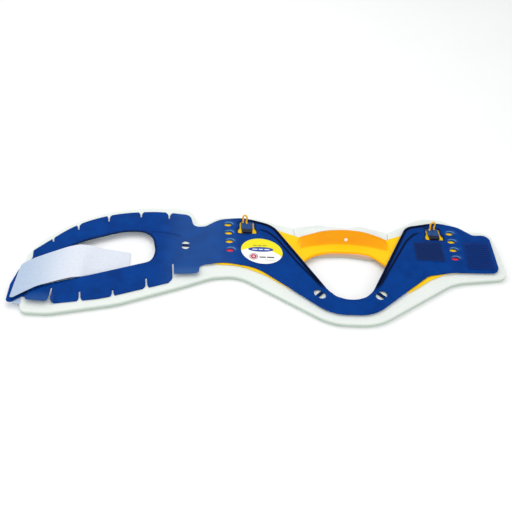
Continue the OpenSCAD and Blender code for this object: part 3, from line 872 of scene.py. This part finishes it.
# The pad's foam, with the painted shade and painted warm reflection under the lip mixed in
pad_skin = foam_skin.copy()
pad_skin.name = "closed-cell polyethylene foam, chin pad"
shader = pad_skin.node_tree.nodes["Principled BSDF"]
plain = shader.inputs["Base Color"].links[0].from_socket
under_lip_shade = node(pad_skin, "ShaderNodeAttribute", {"attribute_name": "under_lip_shade"}).outputs["Fac"]
warm = node(pad_skin, "ShaderNodeMix", colour_mix, _0=under_lip_shade, A=plain, B=linear("#c9a68d"))
node(pad_skin, shader, Base_Color=warm.outputs["Result"])
chin_pad.data.materials.append(pad_skin)
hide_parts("chin_pad")
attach(chin_pad, "chin")


# ---- Chin rivet and size marks ----
# The rivet is a white nylon button that holds the pad to the wall. The size marks are red ink ovals
# printed on the wings, seen through the window of the height that is set.


def clouded(name, dark, light, size, detail=2.0, **surface):
    """A material whose colour drifts between two tones in clouds of that size, in millimetres."""
    material, shader, where = new_material(name, **surface)
    noise = node(material, "ShaderNodeTexNoise", Vector=where, Scale=1 / (size * MM), Detail=detail)
    cloud = noise.outputs["Fac"]
    tone = node(material, "ShaderNodeMix", colour_mix, _0=cloud, A=linear(dark), B=linear(light))
    return material, node(material, shader, Base_Color=tone.outputs["Result"]), cloud


# Natural nylon: white with a faint cream haze and a soft gloss
nylon_white, *_ = clouded("moulded nylon, natural white", "#f2efe4", "#ffffff", 1.5, Roughness=0.4)
dressed("chin_rivet", nylon_white)

# Screen-printed ink: a flat crimson film, a little uneven, with the plastic's own gloss
red_ink, *_ = clouded("printed ink, crimson", "#e00f33", "#f02040", 1.2, Roughness=0.45)
for side in ("left", "right"):
    dressed(f"{side}_size_marker", red_ink)


# ---- Locks ----
# Each lock is a springy tab cut in one with the shell, with grip ribs. Its free end carries a moulded
# black nylon foot, whose peg drops into the notches of the chin support's wing.

tab_half = 7
foot_half = 6.4
tab_end = tab_root - 13.1
foot_back = 3


def placed(piece, side):
    """Moves a piece that was made at the lock's own centre line to its side."""
    piece.data.transform(Matrix.Translation(Vector(((front_x + side * lock_x) * MM, 0, 0))))
    return piece


def tab_height(p):
    ribs_up = sum(np.exp(-(((p[:, 0] - x) / 0.75) ** 2)) for x in (-4.8, -1.6, 1.6, 4.8))
    along_rib = ease(tab_end + 0.4, tab_end + 1.4, p[:, 1])
    along_rib = along_rib * (1 - ease(tab_root - 4.6, tab_root - 3.6, p[:, 1]))
    return front_top + 0.25 + 0.55 * ribs_up * along_rib - 0.25 * ease(tab_root - 3, tab_root, p[:, 1])


def foot_height(p):
    groove = 0.5 * np.exp(-(((p[:, 1] - foot_y) / 0.7) ** 2))
    return front_top + 1.5 - groove - 0.6 * ease(2.2, foot_back, np.abs(p[:, 1] - foot_y))


def level(z):
    """A flat top or bottom for cut_sheet, at that height."""
    return lambda p: np.full(len(p), z)


tab_shape = [(-tab_half, tab_end, 0.6), (tab_half, tab_end, 0.6)]
tab_shape += [(tab_half, tab_root - 0.3, 1), (-tab_half, tab_root - 0.3, 1)]
foot_shape = [
    (-foot_half, foot_y - foot_back, 1.6), (foot_half, foot_y - foot_back, 1.6),
    (foot_half, foot_y + foot_back, 0.8), (-foot_half, foot_y + foot_back, 0.8),
]
peg_shape = [(x, foot_y + y, 0.8) for x, y in ((-2.5, -2.5), (2.5, -2.5), (2.5, 2.5), (-2.5, 2.5))]
fine = (-1.4, -0.7, 0, 0.7, 1.4)
rib_lines = [
    [Vector((x + by, tab_end + 0.4)), Vector((x + by, tab_root - 3.6))]
    for x in (-4.8, -1.6, 1.6, 4.8)
    for by in fine
]
groove_lines = [[Vector((-tab_half + 1, foot_y + by)), Vector((tab_half - 1, foot_y + by))] for by in fine]

# The tab is the shell's own sheet, coloured a little paler and greyer, in clouds
tab_blue, shader, tab_cloud = clouded(
    "moulded polyethylene, paler blue", "#083470", "#1f5696", 3, 4.0, Roughness=0.4, Specular_IOR_Level=0.2
)
grain = node(tab_blue, "ShaderNodeBump", Height=tab_cloud, Strength=0.2, Distance=0.1 * MM)
node(tab_blue, shader, Normal=grain.outputs["Normal"])

# Black nylon, injection moulded with carbon black: near-black navy with a soft wide gloss
nylon_black, shader, dust = clouded(
    "moulded nylon, black", "#02060f", "#101c38", 1.6, 3.0, Specular_IOR_Level=0.3
)
matt = node(nylon_black, "ShaderNodeMapRange", Value=dust, To_Min=0.28, To_Max=0.5)
node(nylon_black, shader, Roughness=matt.outputs["Result"])


def joined(name, pieces):
    """One mesh object from several."""
    with bpy.context.temp_override(active_object=pieces[0], selected_editable_objects=pieces):
        bpy.ops.object.join()
    pieces[0].name = name
    pieces[0].data.name = name
    return pieces[0]


for side, word in ((-1, "left"), (1, "right")):
    tab_outline = rounded(tab_shape, steps=4)
    tab = placed(cut_sheet(f"{word}_tab", tab_outline, [], tab_height, 1.6, 1.6, 0.35, lines=rib_lines), side)
    tab.data.materials.append(tab_blue)
    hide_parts(f"{word}_lock_tab")
    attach(tab, f"{word}_lock")
    block = cut_sheet(
        f"{word}_foot", rounded(foot_shape, steps=4), [], foot_height, 2.6, 1.6, 0.4,
        lines=groove_lines, bottom=level(front_top - 1.4),
    )
    peg = cut_sheet(f"{word}_peg", rounded(peg_shape, steps=3), [], level(front_top - 1.2), 1.3, 2, 0.2)
    foot = placed(joined(f"{word}_foot", [block, peg]), side)
    foot.data.materials.append(nylon_black)
    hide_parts(f"{word}_lock_foot")
    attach(foot, f"{word}_lock")


# ---- Pull loops ----
# A loop of smooth yellow nylon wire stands on each tab. Its two feet spread on the tab where they are
# welded in, and it narrows at the neck like a horseshoe.

wire_thick = 2.2
loop_tilt = math.radians(-18)
loop_turn = math.radians(20)
# distance from the front's centre line and spread of the left and the right loop
loops_at = ((-118.5, 1.0), (115.5, 1.3))


def new_tree(name, **inputs):
    """A Geometry Nodes tree with those inputs, and its input node's sockets."""
    tree = bpy.data.node_groups.new(name, "GeometryNodeTree")
    for socket, kind in inputs.items():
        tree.interface.new_socket(socket, in_out="INPUT", socket_type=f"NodeSocket{kind}")
    tree.interface.new_socket("Result", in_out="OUTPUT", socket_type="NodeSocketGeometry")
    return tree, tree.nodes.new("NodeGroupInput").outputs


wire_tree, given = new_tree(
    "round tube along a path", Path="Geometry", Radius="Float", Spacing="Float", Finish="Material"
)
even = node(
    wire_tree, "GeometryNodeResampleCurve", {"mode": "LENGTH"}, Curve=given["Path"], Length=given["Spacing"]
)
section = node(wire_tree, "GeometryNodeCurvePrimitiveCircle", Resolution=14, Radius=given["Radius"])
tube = node(
    wire_tree, "GeometryNodeCurveToMesh",
    Curve=even.outputs["Curve"], Profile_Curve=section.outputs["Curve"], Fill_Caps=True,
)
smooth = node(wire_tree, "GeometryNodeSetShadeSmooth", Geometry=tube.outputs["Mesh"])
real = node(wire_tree, "GeometryNodeRealizeInstances", Geometry=smooth.outputs["Geometry"])
finished = node(
    wire_tree, "GeometryNodeSetMaterial", Geometry=real.outputs["Geometry"], Material=given["Finish"]
)
node(wire_tree, "NodeGroupOutput", Result=finished.outputs["Geometry"])


def grown(name, source, tree, **values):
    """The plain mesh that a Geometry Nodes tree makes from a source object, which is then removed."""
    modifier = source.modifiers.new("grow", "NODES")
    modifier.node_group = tree
    for item in tree.interface.items_tree:
        if item.in_out == "INPUT" and item.name in values:
            modifier[item.identifier] = values[item.name]
    evaluated = source.evaluated_get(bpy.context.evaluated_depsgraph_get())
    mesh = bpy.data.meshes.new_from_object(evaluated)
    source.modifiers.remove(modifier)
    bpy.data.objects.remove(source)
    made = bpy.data.objects.new(name, mesh)
    mesh.name = name
    bpy.context.scene.collection.objects.link(made)
    return made


# Extruded nylon wire: smooth, a little translucent, amber yellow with a clear highlight
wire_yellow, *_ = clouded(
    "extruded nylon wire, amber", "#f4a80e", "#ffc81e", 2, Roughness=0.3, Specular_IOR_Level=0.4
)

for side, word, (loop_x, spread) in ((-1, "left", loops_at[0]), (1, "right", loops_at[1])):
    route = [(-3.1, 0, 0.2), (-2.3, 0, 0.9), (-2.0, 0, 3.0), (-2.5, 0, 5.6)]
    route += [(-2.7, 0, 7.8), (-1.9, 0, 10.0), (0, 0, 10.9)]
    route += [(-x, y, z) for x, y, z in reversed(route[:-1])]
    seat = Matrix.Translation(Vector((front_x + loop_x, tab_root - 2.6, front_top - 0.3)))
    turned = Matrix.Rotation(side * loop_turn, 4, "Z") @ Matrix.Diagonal((spread, 1, 1, 1))
    stand = seat @ Matrix.Rotation(loop_tilt, 4, "X") @ turned
    path = bpy.data.curves.new(f"{word}_loop_path", "CURVE")
    path.dimensions = "3D"
    spline = path.splines.new("NURBS")
    spline.points.add(len(route) - 1)
    for point, place in zip(spline.points, route):
        point.co = (*(stand @ Vector(place) * MM), 1)
    spline.order_u = 3
    spline.use_endpoint_u = True
    spline.resolution_u = 12
    source = bpy.data.objects.new(f"{word}_loop_path", path)
    bpy.context.scene.collection.objects.link(source)
    loop = grown(
        f"{word}_wire_loop", source, wire_tree,
        Radius=wire_thick / 2 * MM, Spacing=0.6 * MM, Finish=wire_yellow,
    )
    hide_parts(f"{word}_pull_loop")
    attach(loop, f"{word}_lock")


# ---- Hook patches ----
# Two pieces of woven nylon hook tape, glued on the shell: a small dark one beside the right
# lock and a larger navy one at the free end. Fine hooks stand in rows across each.

tape_thick = 0.6
row_pitch = 2.4
hook_high = 0.9
hook_bend = math.radians(215)


hooks_tree, given = new_tree(
    "hooks on points, turned a little at random",
    Points="Geometry", Height="Float", Seed="Int", Finish="Material",
)
hook_arc = node(
    hooks_tree, "GeometryNodeCurveArc", Resolution=6, Radius=0.5, Start_Angle=0, Sweep_Angle=hook_bend
)
section = node(hooks_tree, "GeometryNodeCurvePrimitiveCircle", Resolution=4, Radius=0.16)
bend = node(
    hooks_tree, "GeometryNodeCurveToMesh",
    Curve=hook_arc.outputs["Curve"], Profile_Curve=section.outputs["Curve"], Fill_Caps=True,
)
stand = node(
    hooks_tree, "GeometryNodeTransform",
    Geometry=bend.outputs["Mesh"], Rotation=(math.pi / 2, 0, 0), Translation=(0, 0, 0.35),
)
turned = node(
    hooks_tree, "FunctionNodeRandomValue", {"data_type": "FLOAT_VECTOR"},
    Min=(0, 0, -0.35), Max=(0, 0, 0.35), Seed=given["Seed"],
)
spread = node(
    hooks_tree, "GeometryNodeInstanceOnPoints",
    Points=given["Points"], Instance=stand.outputs["Geometry"],
    Rotation=turned.outputs["Value"], Scale=given["Height"],
)
real = node(hooks_tree, "GeometryNodeRealizeInstances", Geometry=spread.outputs["Instances"])
finished = node(
    hooks_tree, "GeometryNodeSetMaterial", Geometry=real.outputs["Geometry"], Material=given["Finish"]
)
node(hooks_tree, "NodeGroupOutput", Result=finished.outputs["Geometry"])

patches = (
    (
        "hook_patch_large",
        [(150, 41, 2), (182, 42, 2), (179.5, -3.5, 2), (145, -3.5, 2)],
        "#002a6e", "#003583", 3,
    ),
    (
        "hook_patch_small",
        [(86, 8.5, 1.5), (121.5, 8.5, 1.5), (122.5, 40.5, 1.5), (87, 39.5, 1.5)],
        "#06265f", "#0c3173", 4,
    ),
)
for name, corners, dark, light, seed in patches:
    # Woven nylon tape: dull, deep-dyed, with ribs of weave across it that show between the hook rows
    tape, shader, where = new_material(
        f"woven nylon hook tape, {name[11:]}", Roughness=0.7, Specular_IOR_Level=0.15
    )
    flat = node(tape, "ShaderNodeMapping", Vector=where, Scale=(0.15, 1, 1)).outputs["Vector"]
    # The real weave repeats every 0.6 mm; its rows are drawn 3.6 mm apart so that they show
    rows = node(
        tape, "ShaderNodeTexWave", {"bands_direction": "Y"},
        Vector=flat, Scale=0.314 / (3.6 * MM), Distortion=0.6,
    ).outputs["Fac"]
    tone = node(tape, "ShaderNodeMix", colour_mix, _0=rows, A=linear(dark), B=linear(light))
    weave = node(tape, "ShaderNodeBump", Height=rows, Strength=0.5, Distance=0.2 * MM)
    node(tape, shader, Base_Color=tone.outputs["Result"], Normal=weave.outputs["Normal"])
    outline = rounded(shifted(corners), steps=4)
    ground = cut_sheet(f"{name}_ground", outline, [], level(front_top + tape_thick), tape_thick, 6, 0.2)
    ground.data.materials.append(tape)
    low, high = np.array([tuple(p) for p in outline]).min(0), np.array([tuple(p) for p in outline]).max(0)
    grid = [
        (x + 0.6 * (row % 2), low[1] + row * row_pitch * 0.7, front_top + tape_thick)
        for row in range(int((high[1] - low[1]) / (row_pitch * 0.7)) + 1)
        for x in np.arange(low[0], high[0], 1.5)
    ]
    grid = np.array(grid)
    gap, _ = near(grid[:, :2], outline, closed=True)
    grid = grid[inside(grid[:, :2], outline) & (gap > 1.1)]
    points = bpy.data.meshes.new(f"{name}_points")
    points.from_pydata([tuple(p * MM) for p in grid], [], [])
    source = bpy.data.objects.new(f"{name}_points", points)
    bpy.context.scene.collection.objects.link(source)
    hooks = grown(f"{name}_hooks", source, hooks_tree, Height=hook_high * MM, Seed=seed, Finish=tape)
    patch_piece = joined(f"{name}_tape", [ground, hooks])
    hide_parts(name)
    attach(patch_piece, "front")


# ---- Label ----
# An oval sticker of printed vinyl on the waist arm: yellow over white, with a dark lens, a ringed
# spot and plain bars where a real one carries lettering. It is printed here with generic shapes only.

label_at = (front_x - 99.4, 15.3)
label_turn = -15
label_z = front_top + 0.45


def bar(x0, x1, y, high):
    """A bar of that height round y, with soft ends."""
    low, top, soft = y - high / 2, y + high / 2, high * 0.3
    return rounded([(x0, low, soft), (x1, low, soft), (x1, top, soft), (x0, top, soft)], steps=3)


def moved(points):
    return [p + Vector(label_at) for p in points]


horizon = [Vector((x, 5.2 - 0.016 * (x + 6) ** 2)) for x in range(-30, 31, 3)]
inks = [
    (horizon + [Vector((30, 30)), Vector((-30, 30))], "#f3e608"),
    (oval(-1.1, 2.6, 30, 7.8), "#12358c"),
    (oval(-1.1, 2.6, 25, 4.6), "#2b56ad"),
    (bar(-10.3, -5.6, 9.0, 1.3), "#8a8430"),
    (bar(-4.6, 0.2, 9.0, 1.3), "#8a8430"),
    (bar(1.2, 5.8, 9.0, 1.3), "#8a8430"),
    (bar(-11, -5.2, 2.6, 1.5), "#eef2fa"),
    (bar(-3.6, 1.4, 2.6, 1.5), "#eef2fa"),
    (bar(3.0, 9.0, 2.6, 1.5), "#eef2fa"),
    (oval(-9.9, -9.3, 10.0, 10.0), "#6b2a52"),
    (oval(-9.9, -9.3, 8.4, 8.4), "#f6eef2"),
    (oval(-9.9, -9.3, 7.0, 7.0), "#c81e48"),
    (oval(-9.9, -9.3, 3.0, 3.0), "#f2c9d4"),
    (bar(-3.2, 4.4, -10.2, 2.0), "#4a4650"),
    (bar(5.4, 14.2, -10.2, 2.0), "#4a4650"),
    (bar(3.0, 14.4, -14.7, 1.0), "#b9b8bd"),
]
label_edge = oval(*label_at, 49.5, 41, label_turn, count=64)
label = cut_sheet(
    "oval_label", label_edge, [], level(label_z), 0.3, 4, 0.1,
    rings=[moved(shape) for shape, _ in inks[1:]] + [oval(*label_at, 47.2, 38.7, label_turn, count=48)],
    lines=[[p for p in moved(inks[0][0][:21]) if inside(np.array([tuple(p)]), label_edge)[0]]],
)
mesh = label.data
centres = np.array([f.center[:2] for f in mesh.polygons]) / MM - np.array(label_at)
ink_of = np.tile(linear("#fdfdfb"), (len(centres), 1))
for shape, code in inks:
    ink_of[inside(centres, shape)] = linear(code)
layer = mesh.attributes.new("ink", "FLOAT_COLOR", "CORNER")
for face, ink in zip(mesh.polygons, ink_of):
    for corner in face.loop_indices:
        layer.data[corner].color = ink

# Vinyl film, screen printed: even flat inks under a clear satin coat
vinyl, shader, where = new_material("printed vinyl film", Roughness=0.35, Specular_IOR_Level=0.25)
print_ink = node(vinyl, "ShaderNodeAttribute", {"attribute_name": "ink"}).outputs["Color"]
mist = node(vinyl, "ShaderNodeTexNoise", Vector=where, Scale=1 / (6 * MM)).outputs["Fac"]
faint = node(vinyl, "ShaderNodeMapRange", Value=mist, To_Min=0.95, To_Max=1.0).outputs["Result"]
tone = node(vinyl, "ShaderNodeMix", colour_product, _0=1.0, A=print_ink, B=faint)
node(vinyl, shader, Base_Color=tone.outputs["Result"])
mesh.materials.append(vinyl)
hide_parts("label")
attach(label, "front")


# ---- Closure strap ----
# A strap of brushed nylon loop fabric, about 50 mm wide and 1.4 mm thick, tapered at its end. It
# comes up through the slot at the rear panel's tip, folds over and lies on the panel, and its end
# drops through the opening to the table.

strap_thick = 1.4
# far edge and near edge of the strap at places along it, from the slot to its end
strap_rows = [
    ((-272.6, -21.5, 8.4), (-279.3, -64.0, 8.4)),
    ((-274.2, -22.0, 10.0), (-279.8, -65.5, 9.8)),
    ((-277.4, -24.6, 12.0), (-280.2, -67.6, 11.4)),
    ((-274.6, -19.4, 13.3), (-276.4, -68.2, 12.7)),
    ((-265.6, -11.5, 13.0), (-266, -59.4, 12.0)),
    ((-254.5, -4.4, 12.5), (-254.6, -50.4, 11.6)),
    ((-244.5, 1.9, 12.1), (-243.5, -45.3, 11.3)),
    ((-230.5, 10.2, 11.8), (-232, -40.2, 10.8)),
    ((-218.5, 14.4, 11.5), (-221, -35.9, 10.4)),
    ((-210, 14.4, 10.9), (-212.6, -33.2, 9.4)),
    ((-202, 15.0, 8.9), (-205, -28, 5.8)),
    ((-193.5, 14.9, 6.0), (-195, -23.6, 2.9)),
    ((-183, 15.0, 3.6), (-184, -19.4, 1.6)),
    ((-172, 14.6, 2.2), (-173, -15.2, 1.2)),
    ((-161, 13.6, 1.5), (-161.4, -10.5, 1.1)),
]
strap_columns = 22
rows_between = 6


def through(places, count):
    """Points along a smooth line through the places, with count steps between each two."""
    places = [np.array(p, float) for p in places]
    places = [2 * places[0] - places[1], *places, 2 * places[-1] - places[-2]]
    points = []
    for a, b, c, d in zip(places, places[1:], places[2:], places[3:]):
        for k in range(count):
            t = k / count
            square, cube = 2 * a - 5 * b + 4 * c - d, 3 * b - a - 3 * c + d
            points.append(0.5 * (2 * b + (c - a) * t + square * t * t + cube * t**3))
    return np.array(points + [places[-2]])


far_side = through([far for far, _ in strap_rows], rows_between)
near_side = through([close for _, close in strap_rows], rows_between)
steps_along = len(far_side)
share = np.linspace(0, 1, strap_columns)[None, :, None]
middle_face = far_side[:, None, :] * (1 - share) + near_side[:, None, :] * share
run_part = np.linspace(0, 1, steps_along)[:, None]
side_part = np.linspace(0, 1, strap_columns)[None, :]
crown = 1.0 * np.sin(side_part * math.pi) * ease(0.12, 0.3, run_part) * (1 - ease(0.62, 0.9, run_part))
ripple = 0.25 * np.sin(run_part * 21 + side_part * 3) * ease(0.2, 0.35, run_part)
middle_face[:, :, 2] += crown + ripple * (1 - ease(0.7, 0.95, run_part))
middle_face[:, :, 2] = np.maximum(middle_face[:, :, 2], strap_thick / 2 + 0.05)
d_run = np.gradient(middle_face, axis=0)
d_side = np.gradient(middle_face, axis=1)
facing = np.cross(d_side, d_run)
facing /= np.linalg.norm(facing, axis=2, keepdims=True)
edge_thin = 1 - 0.55 * np.abs(2 * side_part - 1) ** 8
half_thick = (strap_thick / 2 * edge_thin)[..., None]
top_face = middle_face + facing * half_thick
low_face = middle_face - facing * half_thick
grid_count = steps_along * strap_columns
strap_points = np.vstack([top_face.reshape(-1, 3), low_face.reshape(-1, 3)])
strap_faces = []
for i in range(steps_along - 1):
    for j in range(strap_columns - 1):
        a = i * strap_columns + j
        quad = (a, a + 1, a + strap_columns + 1, a + strap_columns)
        strap_faces.append(quad)
        strap_faces.append(tuple(grid_count + v for v in reversed(quad)))
rim_loop = [j for j in range(strap_columns)]
rim_loop += [i * strap_columns + strap_columns - 1 for i in range(1, steps_along)]
rim_loop += [(steps_along - 1) * strap_columns + j for j in range(strap_columns - 2, -1, -1)]
rim_loop += [i * strap_columns for i in range(steps_along - 2, 0, -1)]
for a, b in zip(rim_loop, rim_loop[1:] + rim_loop[:1]):
    strap_faces.append((b, a, a + grid_count, b + grid_count))
strap = solid("closure_strap_fabric", strap_points, strap_faces, sharp=60)
uv = strap.data.uv_layers.new(name="cloth")
length_mm = float(np.linalg.norm(np.diff(middle_face[:, strap_columns // 2], axis=0), axis=1).sum())
width_mm = float(np.linalg.norm(far_side - near_side, axis=1).max())
for corner in strap.data.loops:
    place = corner.vertex_index % grid_count
    row, column = divmod(place, strap_columns)
    along, across = row / (steps_along - 1), column / (strap_columns - 1)
    uv.data[corner.index].uv = (along * length_mm * MM, across * width_mm * MM)

# Brushed nylon loop fabric: a matt pile of fine loops that catches light at its rim, pale grey-blue,
# clouded where the pile lies one way or the other; loops are 0.5 mm, drawn 0.9 mm so that they show
loop_cloth, shader, where = new_material(
    "brushed nylon loop fabric", Roughness=0.9, Sheen_Weight=0.25, Sheen_Roughness=0.5, Specular_IOR_Level=0.1
)
cloth = node(loop_cloth, "ShaderNodeUVMap", {"uv_map": "cloth"}).outputs["UV"]
pile = node(loop_cloth, "ShaderNodeTexVoronoi", Vector=cloth, Scale=1 / (0.9 * MM)).outputs["Distance"]
nap = node(loop_cloth, "ShaderNodeTexNoise", Vector=cloth, Scale=1 / (3 * MM), Detail=4.0).outputs["Fac"]
# Painted shade: the fabric is painted darker towards the slot end, where it slopes away from the light
place = node(loop_cloth, "ShaderNodeSeparateXYZ", Vector=where).outputs["X"]
slot_end_shade = node(
    loop_cloth, "ShaderNodeMapRange", {"interpolation_type": "SMOOTHSTEP"},
    Value=place, From_Min=-276 * MM, From_Max=-215 * MM,
).outputs["Result"]
tone = node(loop_cloth, "ShaderNodeMix", colour_mix, _0=slot_end_shade, A=linear("#b4c6de"), B=linear("#e0e6f1"))
brushed = node(
    loop_cloth, "ShaderNodeMapRange", Value=nap, From_Min=0.3, From_Max=0.7, To_Min=0.95, To_Max=1.03
).outputs["Result"]
mixed = node(loop_cloth, "ShaderNodeMix", colour_product, _0=1.0, A=tone.outputs["Result"], B=brushed)
fuzz = node(loop_cloth, "ShaderNodeBump", Height=pile, Strength=0.6, Distance=0.35 * MM)
node(loop_cloth, shader, Base_Color=mixed.outputs["Result"], Normal=fuzz.outputs["Normal"])
strap.data.materials.append(loop_cloth)

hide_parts("closure_strap")
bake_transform(strap)


# ---- Strap root and its rivets ----
# The strap's fixed end is a flat of the same fabric between the rear panel and the foam, held by two
# black nylon rivets. A corner of it shows below the panel's tip.

root_edge = [
    (-281, -62, 3), (-279, -71, 3), (-270, -72.5, 3), (-256, -64, 4),
    (-252, -26, 4), (-262, -14, 4), (-273, -21, 3),
]
root_outline = rounded(root_edge, steps=4)
root = cut_sheet("strap_root_fabric", root_outline, [], level(foam_thick - 0.15), 1.15, 4, 0.4)
root_uv = root.data.uv_layers.new(name="cloth")
for corner in root.data.loops:
    spot = root.data.vertices[corner.vertex_index].co
    root_uv.data[corner.index].uv = (spot.x, spot.y)
root.data.materials.append(loop_cloth)
corners = np.array([tuple(p) for p in root_outline])
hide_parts("strap_root")
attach(root, "rear")

dressed("strap_rivets", nylon_black)
